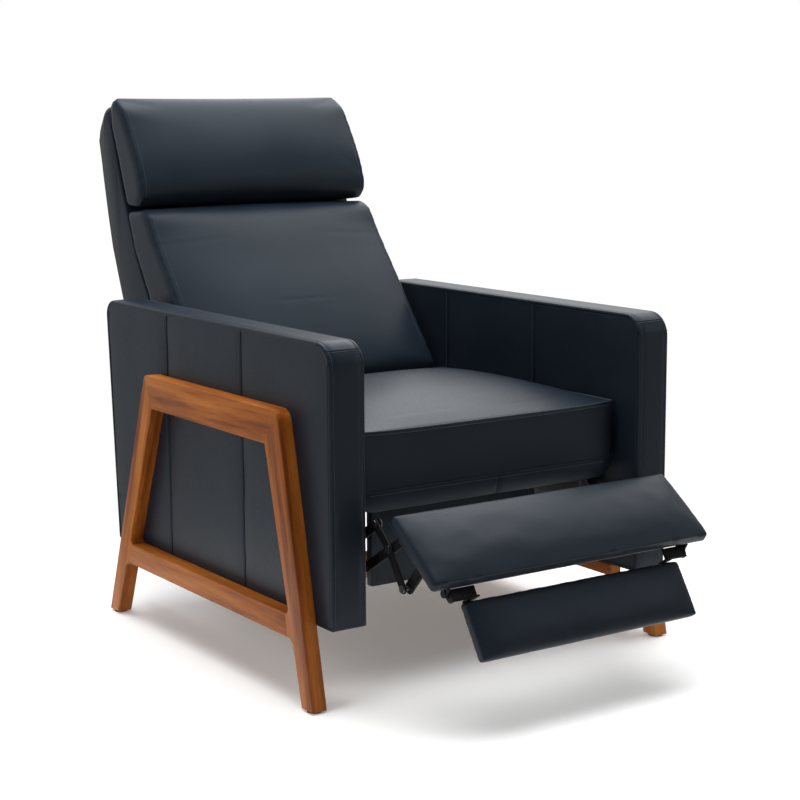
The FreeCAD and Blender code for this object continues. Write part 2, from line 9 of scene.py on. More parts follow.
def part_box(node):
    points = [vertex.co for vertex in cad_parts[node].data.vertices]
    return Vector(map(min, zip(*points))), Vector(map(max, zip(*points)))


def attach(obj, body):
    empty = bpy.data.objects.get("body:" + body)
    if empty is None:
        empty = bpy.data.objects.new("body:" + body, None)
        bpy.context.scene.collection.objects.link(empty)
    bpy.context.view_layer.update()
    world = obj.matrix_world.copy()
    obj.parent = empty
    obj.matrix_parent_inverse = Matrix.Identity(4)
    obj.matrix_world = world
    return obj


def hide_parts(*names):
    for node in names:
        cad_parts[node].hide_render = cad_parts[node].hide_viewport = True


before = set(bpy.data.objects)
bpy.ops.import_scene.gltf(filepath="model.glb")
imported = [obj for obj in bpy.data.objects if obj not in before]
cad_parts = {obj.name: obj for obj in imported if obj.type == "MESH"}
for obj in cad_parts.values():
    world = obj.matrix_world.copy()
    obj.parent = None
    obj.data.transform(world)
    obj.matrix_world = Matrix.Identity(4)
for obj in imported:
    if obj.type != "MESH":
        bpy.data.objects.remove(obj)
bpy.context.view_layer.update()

# Studio: a pale floor that fades to white, a wide soft light overhead and softer
# ones to the left and in front, and panels that only show as sheen on the leather.
scene = bpy.context.scene
scene.view_settings.view_transform = "Standard"
scene.view_settings.look = "None"


def put_down():
    """Nothing is selected, so that the next tool acts on one piece only."""
    if bpy.context.object and bpy.context.object.mode != "OBJECT":
        bpy.ops.object.mode_set(mode="OBJECT")
    bpy.ops.object.select_all(action="DESELECT")


def pick_up(piece):
    put_down()
    piece.select_set(True)
    bpy.context.view_layer.objects.active = piece


floor_size = 60.0
put_down()
bpy.ops.mesh.primitive_plane_add(size=floor_size, location=(0, 0, 0))
floor = bpy.context.object
floor.name = "studio_floor"
floor_paint = bpy.data.materials.new("floor_paint")
floor_paint.use_nodes = True
paint = floor_paint.node_tree.nodes["Principled BSDF"]
paint.inputs["Base Color"].default_value = (0.93, 0.93, 0.93, 1)
paint.inputs["Roughness"].default_value = 0.8
paint.inputs["Specular IOR Level"].default_value = 0.1
paint.inputs["Emission Color"].default_value = (1, 1, 1, 1)
paint.inputs["Emission Strength"].default_value = 0.13
tree = floor_paint.node_tree
spot = tree.nodes.new("ShaderNodeTexCoord")
reach = tree.nodes.new("ShaderNodeVectorMath")
reach.operation = "LENGTH"
fade = tree.nodes.new("ShaderNodeMapRange")
fade.interpolation_type = "SMOOTHSTEP"
fade.inputs["From Min"].default_value = 0.45
fade.inputs["From Max"].default_value = 1.20
glow = tree.nodes.new("ShaderNodeEmission")
glow.inputs["Color"].default_value = (1, 1, 1, 1)
floor_rays = tree.nodes.new("ShaderNodeLightPath")
glow_level = tree.nodes.new("ShaderNodeMapRange")
glow_level.inputs["To Min"].default_value = 0.5
glow_level.inputs["To Max"].default_value = 1.0
tree.links.new(floor_rays.outputs["Is Camera Ray"], glow_level.inputs["Value"])
tree.links.new(glow_level.outputs["Result"], glow.inputs["Strength"])
sweep = tree.nodes.new("ShaderNodeMixShader")
tree.links.new(spot.outputs["Object"], reach.inputs[0])
tree.links.new(reach.outputs["Value"], fade.inputs["Value"])
tree.links.new(fade.outputs["Result"], sweep.inputs[0])
tree.links.new(paint.outputs[0], sweep.inputs[1])
tree.links.new(glow.outputs[0], sweep.inputs[2])
tree.links.new(sweep.outputs[0], tree.nodes["Material Output"].inputs["Surface"])
floor.data.materials.append(floor_paint)

surround = bpy.data.worlds.new("studio")
surround.use_nodes = True
tree = surround.node_tree
tree.nodes.clear()
seen = tree.nodes.new("ShaderNodeBackground")
seen.inputs["Color"].default_value = (1, 1, 1, 1)
seen.inputs["Strength"].default_value = 1.0
room = tree.nodes.new("ShaderNodeBackground")
room.inputs["Strength"].default_value = 1.0
around = tree.nodes.new("ShaderNodeTexCoord")
toward = tree.nodes.new("ShaderNodeVectorMath")
toward.operation = "DOT_PRODUCT"
toward.inputs[1].default_value = (0.42, 0.90, 0.10)
wall = tree.nodes.new("ShaderNodeMapRange")
wall.interpolation_type = "SMOOTHSTEP"
wall.inputs["From Min"].default_value = 0.15
wall.inputs["From Max"].default_value = 0.95
wall.inputs["To Min"].default_value = 0.14
wall.inputs["To Max"].default_value = 0.85
tree.links.new(around.outputs["Generated"], toward.inputs[0])
tree.links.new(toward.outputs["Value"], wall.inputs["Value"])
tree.links.new(wall.outputs["Result"], room.inputs["Color"])
rays = tree.nodes.new("ShaderNodeLightPath")
either = tree.nodes.new("ShaderNodeMixShader")
out = tree.nodes.new("ShaderNodeOutputWorld")
tree.links.new(rays.outputs["Is Camera Ray"], either.inputs[0])
tree.links.new(room.outputs[0], either.inputs[1])
tree.links.new(seen.outputs[0], either.inputs[2])
tree.links.new(either.outputs[0], out.inputs[0])
scene.world = surround

chair_middle = Vector((0, 0, 0.45))


def softbox(name, place, width, depth, watts, lit=True, mirrored=True, aim=chair_middle):
    """A soft light; it can be kept out of reflections, or be seen in them alone."""
    lamp = bpy.data.lights.new(name, "AREA")
    lamp.shape = "RECTANGLE"
    lamp.size = width
    lamp.size_y = depth
    lamp.energy = watts
    holder = bpy.data.objects.new(name, lamp)
    scene.collection.objects.link(holder)
    holder.location = place
    holder.rotation_euler = (Vector(place) - aim).to_track_quat("Z", "Y").to_euler()
    holder.visible_diffuse = lit
    holder.visible_glossy = mirrored
    return holder


softbox("overhead_softbox", (0.1, 0.2, 3.1), 3.2, 2.6, 178, mirrored=False)
softbox("left_softbox", (-3.6, -0.6, 1.5), 1.8, 2.0, 40, mirrored=False)
softbox("front_softbox", (-0.6, -4.2, 2.0), 1.4, 1.4, 14, mirrored=False)
softbox("overhead_sheen", (1.3, 0.8, 3.0), 3.2, 2.8, 58, lit=False)
softbox("rear_sheen", (2.8, 3.2, 2.3), 2.4, 1.6, 11, lit=False)
softbox("side_sheen", (-3.2, 1.6, 1.4), 1.4, 1.6, 7, lit=False)
softbox("front_sheen", (2.6, -2.6, 2.0), 1.8, 1.6, 8, lit=False)

view_azimuth = math.radians(-34.185)
view_elevation = math.radians(9.490)
view_roll = math.radians(-0.298)
backward = Vector((math.sin(view_azimuth) * math.cos(view_elevation),
                   -math.cos(view_azimuth) * math.cos(view_elevation),
                   math.sin(view_elevation)))
level = (-backward).cross(Vector((0, 0, 1))).normalized()
upward = level.cross(-backward)
across = level * math.cos(view_roll) + upward * math.sin(view_roll)
upward = upward * math.cos(view_roll) - level * math.sin(view_roll)
camera_data = bpy.data.cameras.new("studio_camera")
camera_data.lens = 81.14
camera_data.sensor_width = 36.0
camera = bpy.data.objects.new("studio_camera", camera_data)
scene.collection.objects.link(camera)
camera.matrix_world = (Matrix.Translation((-1.76306, -2.65846, 0.94581))
                       @ Matrix((across, upward, backward)).transposed().to_4x4())
scene.camera = camera

# Wooden side frames: stained rubberwood, two tapered legs, a mitred top rail
# and a lower rail butted between the legs' shoulders, glued and eased.
wood_dark = (0.150, 0.034, 0.0045, 1)
wood_mid = (0.335, 0.094, 0.0115, 1)
wood_light = (0.470, 0.160, 0.0240, 1)
wood_edge = 0.0018
joint_line = 0.12


def nodes_of(material):
    material.use_nodes = True
    tree = material.node_tree
    return tree, tree.nodes["Principled BSDF"]


def grain(tree, turn, stretch, scale, detail, rough=0.55, lean=0.0):
    """Noise drawn out along one direction of the piece."""
    place = tree.nodes.new("ShaderNodeTexCoord")
    lie = tree.nodes.new("ShaderNodeMapping")
    lie.vector_type = "TEXTURE"
    lie.inputs["Rotation"].default_value = turn
    lie.inputs["Scale"].default_value = stretch
    lie.inputs["Location"].default_value = (lean, lean * 0.7, lean * 0.3)
    fibre = tree.nodes.new("ShaderNodeTexNoise")
    fibre.inputs["Scale"].default_value = scale
    fibre.inputs["Detail"].default_value = detail
    fibre.inputs["Roughness"].default_value = rough
    tree.links.new(place.outputs["Object"], lie.inputs["Vector"])
    tree.links.new(lie.outputs["Vector"], fibre.inputs["Vector"])
    return fibre


def ramp(tree, source, stops):
    steps = tree.nodes.new("ShaderNodeValToRGB")
    bar = steps.color_ramp
    while len(bar.elements) < len(stops):
        bar.elements.new(0.5)
    for stop, (at, colour) in zip(bar.elements, stops):
        stop.position = at
        stop.color = colour if hasattr(colour, "__len__") else (colour, colour, colour, 1)
    tree.links.new(source, steps.inputs[0])
    return steps.outputs[0]


def blend_colours(tree, mode, share, first, second):
    mixer = tree.nodes.new("ShaderNodeMix")
    mixer.data_type = "RGBA"
    mixer.blend_type = mode
    if hasattr(share, "default_value"):
        tree.links.new(share, mixer.inputs[0])
    else:
        mixer.inputs[0].default_value = share
    for socket, value in ((mixer.inputs[6], first), (mixer.inputs[7], second)):
        if hasattr(value, "default_value"):
            tree.links.new(value, socket)
        else:
            socket.default_value = value
    return mixer.outputs[2]


def raise_by(tree, shader, layers):
    """Bump from several heights, coarse first: (socket, strength, distance)."""
    last = None
    for height, strength, distance in layers:
        bump = tree.nodes.new("ShaderNodeBump")
        bump.inputs["Strength"].default_value = strength
        bump.inputs["Distance"].default_value = distance
        tree.links.new(height, bump.inputs["Height"])
        if last:
            tree.links.new(last, bump.inputs["Normal"])
        last = bump.outputs["Normal"]
    tree.links.new(last, shader.inputs["Normal"])


def stained_wood(name, turn, shift):
    material = bpy.data.materials.new(name)
    tree, shader = nodes_of(material)
    along = (1, 1, 14)
    figure = grain(tree, turn, along, 34, 4, 0.6, shift)
    body = ramp(tree, figure.outputs["Fac"], [(0.34, wood_dark), (0.5, wood_mid), (0.68, wood_light)])
    fibre = grain(tree, turn, (1, 1, 28), 420, 2, 0.6, shift)
    streak = ramp(tree, fibre.outputs["Fac"], [(0.30, 0.72), (0.62, 1.0)])
    body = blend_colours(tree, "MULTIPLY", 0.6, body, streak)
    pores = grain(tree, turn, (1, 1, 18), 1150, 1, 0.5, shift + 3)
    pit = ramp(tree, pores.outputs["Fac"], [(0.28, 0.35), (0.38, 1.0)])
    body = blend_colours(tree, "MULTIPLY", 0.6, body, pit)
    tree.links.new(body, shader.inputs["Base Color"])
    gloss = ramp(tree, fibre.outputs["Fac"], [(0.2, 0.50), (0.8, 0.36)])
    tree.links.new(gloss, shader.inputs["Roughness"])
    shader.inputs["Specular IOR Level"].default_value = 0.28
    shader.inputs["Specular Tint"].default_value = (1.0, 0.86, 0.70, 1)
    raise_by(tree, shader, [(fibre.outputs["Fac"], 0.25, 0.0004), (pit, 0.4, 0.0003)])
    return material


def near_copy(node, name, merge=0.00002):
    """A copy of a CAD solid with its doubled points merged and flat faces whole."""
    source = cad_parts[node]
    piece = bpy.data.objects.new(name, source.data.copy())
    scene.collection.objects.link(piece)
    pick_up(piece)
    bpy.ops.object.mode_set(mode="EDIT")
    bpy.ops.mesh.select_all(action="SELECT")
    bpy.ops.mesh.remove_doubles(threshold=merge)
    bpy.ops.mesh.dissolve_limited(angle_limit=math.radians(0.5))
    bpy.ops.object.mode_set(mode="OBJECT")
    return piece


def fit(piece, material, body, slot_name, *nodes):
    """Gives a finished piece its material and its body, and hides the CAD nodes it stands for."""
    piece.data.materials.clear()
    piece.data.materials.append(material)
    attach(piece, body)
    if nodes:
        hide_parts(*nodes)
    return piece


def ease(piece, width, segments=3, sharp=30, smooth=35, by_weight=False):
    """Rounds a piece's sharp edges and shades it smooth."""
    pick_up(piece)
    edge = piece.modifiers.new("eased_edges", "BEVEL")
    edge.width = width
    edge.segments = segments
    edge.limit_method = "WEIGHT" if by_weight else "ANGLE"
    edge.angle_limit = math.radians(sharp)
    edge.use_clamp_overlap = False
    bpy.ops.object.modifier_apply(modifier=edge.name)
    bpy.ops.object.shade_smooth_by_angle(angle=math.radians(smooth))


def weigh_edges(piece, neighbours):
    """Full rounding on free edges, a hairline where a piece meets its neighbours."""
    meets = set()
    for other in neighbours:
        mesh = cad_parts[other].data
        beside = BVHTree.FromPolygons([v.co for v in mesh.vertices], [p.vertices for p in mesh.polygons])
        for face in piece.data.polygons:
            _, _, _, gap = beside.find_nearest(face.center)
            if gap < 0.0005:
                meets.update(face.edge_keys)
    work = bmesh.new()
    work.from_mesh(piece.data)
    layer = work.edges.layers.float.new("bevel_weight_edge")
    for line in work.edges:
        key = tuple(sorted(v.index for v in line.verts))
        if key in meets:
            line[layer] = joint_line
        elif len(line.link_faces) == 2 and line.calc_face_angle(0) > math.radians(35):
            line[layer] = 1.0
    work.to_mesh(piece.data)
    work.free()


def lean_of(dy, dz):
    return (-math.atan2(dy, dz), 0, 0)


frame_members = {
    "arm_runner": (lean_of(1, 0), ()),
    "front_leg": (lean_of(0.098, 0.465), ("top_rail", "lower_rail")),
    "rear_leg": (lean_of(-0.154, 0.465), ("top_rail", "lower_rail")),
    "top_rail": (lean_of(1, 0), ("front_leg", "rear_leg")),
    "lower_rail": (lean_of(1, 0), ("front_leg", "rear_leg")),
}
for number, (member, (turn, joined)) in enumerate(frame_members.items()):
    for side in ("left", "right"):
        shift = number * 1.7 + (0.9 if side == "left" else 0)
        member_wood = stained_wood(side + "_" + member + "_wood", turn, shift)
        piece = near_copy(side + "_" + member, side + "_" + member + "_shaped", 0.0007)
        weigh_edges(piece, [side + "_" + other for other in joined])
        ease(piece, wood_edge, 4, by_weight=True)
        fit(piece, member_wood, "base", "stained_wood", side + "_" + member)

# Foot glides and frame bolts: black nylon glides nailed under the feet, and
# zinc-plated bolts that hold each side frame to its arm.


def moulded(name, colour, rough):
    material = bpy.data.materials.new(name)
    tree, shader = nodes_of(material)
    speckle = grain(tree, (0, 0, 0), (1, 1, 1), 900, 2)
    tree.links.new(ramp(tree, speckle.outputs["Fac"], [(0.3, [c * 0.7 for c in colour] + [1]),
                                                      (0.7, [c * 1.2 for c in colour] + [1])]),
                   shader.inputs["Base Color"])
    tree.links.new(ramp(tree, speckle.outputs["Fac"], [(0.3, rough - 0.06), (0.7, rough + 0.08)]),
                   shader.inputs["Roughness"])
    raise_by(tree, shader, [(speckle.outputs["Fac"], 0.2, 0.0002)])
    return material


def steel_finish(name, colour, rough, metallic, brushed=(1, 1, 1)):
    material = bpy.data.materials.new(name)
    tree, shader = nodes_of(material)
    wear = grain(tree, (0, 0, 0), brushed, 160, 4, 0.6)
    low = [c * 0.78 for c in colour] + [1]
    high = [min(1, c * 1.12) for c in colour] + [1]
    tree.links.new(ramp(tree, wear.outputs["Fac"], [(0.3, low), (0.72, high)]), shader.inputs["Base Color"])
    tree.links.new(ramp(tree, wear.outputs["Fac"], [(0.3, rough - 0.07), (0.7, rough + 0.1)]),
                   shader.inputs["Roughness"])
    shader.inputs["Metallic"].default_value = metallic
    raise_by(tree, shader, [(wear.outputs["Fac"], 0.12, 0.0002)])
    return material


def finish(material, *nodes):
    """A CAD node whose shape is right stays, and takes the finish."""
    for name in nodes:
        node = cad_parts[name]
        node.data.materials.clear()
        node.data.materials.append(material)


glide_nylon = moulded("glide_nylon", (0.016, 0.014, 0.013), 0.5)
bright_steel = steel_finish("bright_steel", (0.62, 0.62, 0.60), 0.26, 1.0)
rivet_steel = steel_finish("rivet_steel", (0.26, 0.26, 0.27), 0.34, 1.0)
satin_black = steel_finish("satin_black", (0.008, 0.008, 0.009), 0.42, 0.0)
satin_black.node_tree.nodes["Principled BSDF"].inputs["Specular IOR Level"].default_value = 0.16
finish(glide_nylon, "foot_glides", "glide_rollers")
finish(bright_steel, "frame_bolts", "ground_pins", "hinge_pins")

# Hidden woodwork: pine cross rails, plywood deck and rails, planed and left raw,
# glued and screwed to the arms and to the shell.


def raw_timber(name, turn, pale, dark):
    material = bpy.data.materials.new(name)
    tree, shader = nodes_of(material)
    figure = grain(tree, turn, (1, 1, 10), 40, 4, 0.55)
    fine = grain(tree, turn, (1, 1, 22), 700, 2, 0.6)
    body = ramp(tree, figure.outputs["Fac"], [(0.3, dark), (0.65, pale)])
    body = blend_colours(tree, "MULTIPLY", 0.5, body,
                         ramp(tree, fine.outputs["Fac"], [(0.3, 0.6), (0.6, 1.0)]))
    tree.links.new(body, shader.inputs["Base Color"])
    tree.links.new(ramp(tree, fine.outputs["Fac"], [(0.2, 0.72), (0.8, 0.58)]), shader.inputs["Roughness"])
    raise_by(tree, shader, [(fine.outputs["Fac"], 0.3, 0.0003)])
    return material


across_grain = (0, math.radians(90), 0)
raw_across = raw_timber("raw_timber_across", across_grain, (0.50, 0.33, 0.18, 1), (0.36, 0.22, 0.11, 1))
raw_along = raw_timber("raw_timber_along", lean_of(1, 0), (0.46, 0.30, 0.16, 1), (0.33, 0.20, 0.10, 1))
raw_upright = raw_timber("raw_timber_upright", lean_of(0.35, 1), (0.48, 0.31, 0.17, 1), (0.34, 0.21, 0.10, 1))
finish(raw_across, "front_cross_rail", "rear_cross_rail", "seat_deck", "back_rails")
finish(raw_along, "left_guide_rail", "right_guide_rail", "left_arm_frame", "right_arm_frame")
finish(raw_upright, "back_posts")

# Arms: a board box padded with thin foam and covered in dark navy leather. A band
# runs up the front, over the top and down the rear; side panels of three pieces
# are seamed to it and topstitched.
leather_tone = (0.0062, 0.0098, 0.0158, 1)
leather_worn = (0.0092, 0.0138, 0.0208, 1)
thread_tone = (0.034, 0.046, 0.066)


def dressed_leather(name):
    material = bpy.data.materials.new(name)
    tree, shader = nodes_of(material)
    cloud = grain(tree, (0, 0, 0), (1, 1, 1), 7, 3, 0.55)
    tree.links.new(ramp(tree, cloud.outputs["Fac"], [(0.30, leather_tone), (0.72, leather_worn)]),
                   shader.inputs["Base Color"])
    place = tree.nodes.new("ShaderNodeTexCoord")
    pebble = tree.nodes.new("ShaderNodeTexVoronoi")
    pebble.feature = "SMOOTH_F1"
    pebble.inputs["Scale"].default_value = 620
    pebble.inputs["Smoothness"].default_value = 0.6
    tree.links.new(place.outputs["Object"], pebble.inputs["Vector"])
    crease = grain(tree, (0, 0, 0), (1, 1, 1), 240, 3, 0.6)
    soft = grain(tree, (0, 0, 0), (1, 1, 1), 22, 2, 0.5)
    tree.links.new(ramp(tree, crease.outputs["Fac"], [(0.28, 0.36), (0.75, 0.46)]),
                   shader.inputs["Roughness"])
    shader.inputs["Specular IOR Level"].default_value = 0.30
    shader.inputs["Specular Tint"].default_value = (0.84, 0.93, 1.0, 1)
    raise_by(tree, shader, [(soft.outputs["Fac"], 0.25, 0.0012), (crease.outputs["Fac"], 0.16, 0.0004),
                            (pebble.outputs["Distance"], 0.16, 0.0003)])
    return material


leather = dressed_leather("navy_leather")
thread = moulded("navy_thread", thread_tone, 0.6)
# Lighter than the leather: a painted highlight along the seat's rolled top seam.
painted_highlight_seam = moulded("painted_highlight_seam", (0.040, 0.048, 0.060), 0.42)
stitch_length = 0.0034
stitch_pitch = 0.0052
stitch_radius = 0.00055


def guide_line(name, path, closed=False):
    curve = bpy.data.curves.new(name, "CURVE")
    curve.dimensions = "3D"
    run = curve.splines.new("POLY")
    run.points.add(len(path) - 1)
    for point, place in zip(run.points, path):
        point.co = (*place, 1)
    run.use_cyclic_u = closed
    guide = bpy.data.objects.new(name, curve)
    scene.collection.objects.link(guide)
    return guide


def join_up(name, parts):
    put_down()
    for part in parts:
        part.select_set(True)
    bpy.context.view_layer.objects.active = parts[0]
    if len(parts) > 1:
        bpy.ops.object.join()
    parts[0].name = name
    parts[0].data.name = name
    return parts[0]


def sew(name, paths, body):
    """Rows of stitches: one stitch of thread, repeated and laid along each line."""
    rows = []
    for path in paths:
        guide = guide_line("sewing_line", path)
        put_down()
        bpy.ops.mesh.primitive_cylinder_add(vertices=6, radius=stitch_radius, depth=stitch_length,
                                            location=(stitch_length / 2, 0, 0),
                                            rotation=(0, math.radians(90), 0))
        row = bpy.context.object
        bpy.ops.object.transform_apply(location=True, rotation=True, scale=True)
        bpy.ops.object.mode_set(mode="EDIT")
        work = bmesh.from_edit_mesh(row.data)
        bpy.ops.mesh.select_mode(type="FACE")
        for face in work.faces:
            face.select_set(abs(face.normal.x) > 0.9)
        bmesh.update_edit_mesh(row.data)
        bpy.ops.mesh.inset(thickness=stitch_radius * 0.5, depth=stitch_radius * 0.6, use_individual=True)
        bpy.ops.object.mode_set(mode="OBJECT")
        repeat = row.modifiers.new("repeat", "ARRAY")
        repeat.fit_type = "FIT_CURVE"
        repeat.curve = guide
        repeat.use_relative_offset = False
        repeat.use_constant_offset = True
        repeat.constant_offset_displace = (stitch_pitch, 0, 0)
        lay = row.modifiers.new("lay", "CURVE")
        lay.object = guide
        bpy.ops.object.modifier_apply(modifier="repeat")
        bpy.ops.object.modifier_apply(modifier="lay")
        bpy.data.objects.remove(guide)
        rows.append(row)
    piece = join_up(name, rows)
    pick_up(piece)
    bpy.ops.object.shade_smooth()
    return fit(piece, thread, body, "leather")


def bead(name, paths, radius, body, material=None, closed=False):
    """Thin rolled seam edges that follow lines of points."""
    parts = []
    for path in paths:
        line = guide_line(name, path, closed)
        line.data.bevel_depth = radius
        line.data.bevel_resolution = 2
        line.data.use_fill_caps = not closed
        pick_up(line)
        bpy.ops.object.convert(target="MESH")
        parts.append(bpy.context.object)
    piece = join_up(name, parts)
    pick_up(piece)
    bpy.ops.object.shade_smooth()
    return fit(piece, material or leather, body, "leather")


def select(piece, kind, wanted):
    """Selects in edit mode the faces, edges or points that a test picks."""
    bpy.ops.mesh.select_mode(type={"verts": "VERT", "edges": "EDGE", "faces": "FACE"}[kind])
    bpy.ops.mesh.select_all(action="DESELECT")
    work = bmesh.from_edit_mesh(piece.data)
    for part in getattr(work, kind):
        if wanted(part):
            part.select_set(True)
    work.select_flush_mode()
    bmesh.update_edit_mesh(piece.data)


def slice_at(axis, places):
    """Cuts the whole piece in edit mode by planes across one axis."""
    normal = [0, 0, 0]
    normal[axis] = 1
    for place in places:
        spot = [0, 0, 0]
        spot[axis] = place
        bpy.ops.mesh.select_all(action="SELECT")
        bpy.ops.mesh.bisect(plane_co=spot, plane_no=normal)


def box_piece(name, low, high):
    put_down()
    low, high = Vector(low), Vector(high)
    bpy.ops.mesh.primitive_cube_add(size=1, location=(low + high) / 2)
    piece = bpy.context.object
    piece.name = name
    piece.data.name = name
    piece.scale = high - low
    bpy.ops.object.transform_apply(location=True, rotation=True, scale=True)
    return piece


def even(start, end, step):
    count = max(1, round((end - start) / step))
    return [start + (end - start) * i / count for i in range(1, count)]


arm_low_rear = 0.376
arm_front_round = 0.040
arm_rear_round = 0.030
band_return = 0.0042
seam_width = 0.0016
seam_depth = 0.0024
panel_crown = 0.0026
outer_seams = (-0.106, 0.159)
inner_seams = (-0.090, 0.179)
cross_seam_turn = 137
cross_seam_half = 2
topstitch_in = 0.0065


def arm_profile(low, high, inset):
    """The arm's outline in (y, z) from the front foot up, over and down the rear."""
    points = []
    centre = Vector((low.y + arm_front_round, high.z - arm_front_round))
    for i in range(0, 13):
        turn = math.radians(180 - 90 * i / 12)
        r = arm_front_round - inset
        points.append((centre.x + r * math.cos(turn), centre.y + r * math.sin(turn)))
    lean = (high.y - arm_low_rear) / (high.z - low.z)
    centre = Vector((high.y - arm_rear_round, high.z - arm_rear_round))
    for i in range(0, 11):
        turn = math.radians(90 - 86 * i / 10)
        r = arm_rear_round - inset
        points.append((centre.x + r * math.cos(turn), centre.y + r * math.sin(turn)))
    bottom = low.z + 0.004
    return ([(low.y + inset, z) for z in (bottom, 0.3, 0.45)] + points
            + [(high.y - inset - lean * (high.z - z), z) for z in (0.45, 0.3, bottom)])


for side, out_way in (("left", 1), ("right", -1)):
    low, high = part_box(side + "_arm_cover")
    low.x, high.x = sorted((out_way * 0.2786, out_way * 0.3428))
    centre_x = (low.x + high.x) / 2
    half = (high.x - low.x) / 2
    piece = box_piece(side + "_arm_leather", low, high)
    bpy.ops.object.mode_set(mode="EDIT")
    work = bmesh.from_edit_mesh(piece.data)
    for v in work.verts:
        if v.co.y > 0 and v.co.z < 0.3:
            v.co.y = arm_low_rear
    bmesh.update_edit_mesh(piece.data)
    select(piece, "edges", lambda e: all(v.co.z > 0.5 and v.co.y < 0 for v in e.verts))
    bpy.ops.mesh.bevel(offset=arm_front_round, segments=12)
    select(piece, "edges", lambda e: all(v.co.z > 0.5 and v.co.y > 0.3 for v in e.verts)
           and abs(e.verts[0].co.x - e.verts[1].co.x) > 0.01)
    bpy.ops.mesh.bevel(offset=arm_rear_round, segments=10)
    select(piece, "faces", lambda f: abs(f.normal.x) > 0.9)
    bpy.ops.mesh.inset(thickness=band_return, use_individual=True)
    bpy.ops.mesh.inset(thickness=seam_width, depth=-seam_depth, use_individual=True)
    bpy.ops.mesh.inset(thickness=seam_width, depth=seam_depth * 0.7, use_individual=True)
    rows = even(low.y, high.y, 0.030)
    seams = outer_seams + inner_seams
    rows = [y for y in rows if min(abs(y - s) for s in seams) > 0.009]
    for s in seams:
        rows += [s - 0.007, s - 0.003, s - 0.001, s, s + 0.001, s + 0.003, s + 0.007]
    slice_at(1, sorted(rows))
    slice_at(2, even(low.z, high.z, 0.030))
    slice_at(0, [centre_x + w * (half - d) for w in (-1, 1)
                 for d in (topstitch_in - 0.0015, topstitch_in, topstitch_in + 0.0015, 0.018)] + [centre_x])
    pivot = Vector((centre_x, low.y + arm_front_round, high.z - arm_front_round))
    for turn in (cross_seam_turn, cross_seam_turn + cross_seam_half):
        select(piece, "faces", lambda f: f.calc_center_median().y < pivot.y
               and f.calc_center_median().z > pivot.z and abs(f.normal.x) < 0.1)
        turn = math.radians(turn)
        bpy.ops.mesh.bisect(plane_co=pivot, plane_no=(0, -math.sin(turn), math.cos(turn)))
    work = bmesh.from_edit_mesh(piece.data)
    work.normal_update()
    edge_in = band_return + 2 * seam_width
    lean = (high.y - arm_low_rear) / (high.z - low.z)
    for v in work.verts:
        depth = abs(v.co.x - centre_x)
        way = 1 if v.co.x > centre_x else -1
        rear = arm_low_rear + lean * (v.co.z - low.z)
        inside = min(v.co.y - low.y, rear - v.co.y, v.co.z - low.z, high.z - v.co.z)
        if depth > half - seam_depth - 0.0001 and inside > edge_in - 0.0003 and abs(v.normal.x) > 0.9:
            lines = outer_seams if way == out_way else inner_seams
            ends = (low.y,) + lines + (rear,)
            panel = [(a, b) for a, b in zip(ends, ends[1:]) if a <= v.co.y <= b][0]
            u = (v.co.y - panel[0]) / (panel[1] - panel[0]) * 2 - 1
            w = (v.co.z - low.z) / (high.z - low.z) * 2 - 1
            swell = panel_crown * (1 - abs(u) ** 6) * (1 - abs(w) ** 8)
            swell += 0.0007 * noise.noise(v.co * 17) + 0.0004 * noise.noise(v.co * 45)
            near = min(abs(v.co.y - s) for s in lines)
            if near < 0.0005:
                swell = -0.0022
            v.co.x = centre_x + way * (half - 0.0012 + swell)
        elif depth < half - 0.001 and v.co.z > low.z + 0.001:
            reach = abs(v.co.x - centre_x) / half
            swell = 0.0010 * (1 - reach ** 4)
            if abs(depth - (half - topstitch_in)) < 0.0004:
                swell -= 0.0009
            turn = math.degrees(math.atan2(v.co.z - pivot.z, v.co.y - pivot.y))
            if abs(turn - cross_seam_turn) < 0.4 and v.co.z > pivot.z:
                swell -= 0.0018
            v.co += Vector((0, v.normal.y, v.normal.z)) * swell
    bmesh.update_edit_mesh(piece.data)
    bpy.ops.object.mode_set(mode="OBJECT")
    ease(piece, 0.0030, 3, sharp=70, smooth=42)
    fit(piece, leather, "base", "leather", side + "_arm_cover")

    rows = []
    outline = arm_profile(low, high, -0.0004)
    for way in (-1, 1):
        x = centre_x + way * (half - topstitch_in)
        rows.append([(x, y, z) for y, z in outline])
    for way, lines in ((out_way, outer_seams), (-out_way, inner_seams)):
        x = centre_x + way * (half + 0.0008)
        for s in lines:
            rows.append([(x, s + 0.0045, z) for z in (0.142, 0.25, 0.36, 0.47, 0.572)])
    sew(side + "_arm_stitching", rows, "base")

# Seat base: the leather strip under the cushion's front, the leather-wrapped kick
# panel behind the footrest, and the steel side plates the deck is screwed to.


def steel_copy(node, body, width, material, slot_name, segments=2):
    piece = near_copy(node, node + "_finished")
    ease(piece, width, segments, sharp=50, smooth=38)
    return fit(piece, material, body, slot_name, node)


for side in ("left", "right"):
    steel_copy(side + "_side_plate", "seat", 0.0005, satin_black, "black_steel")

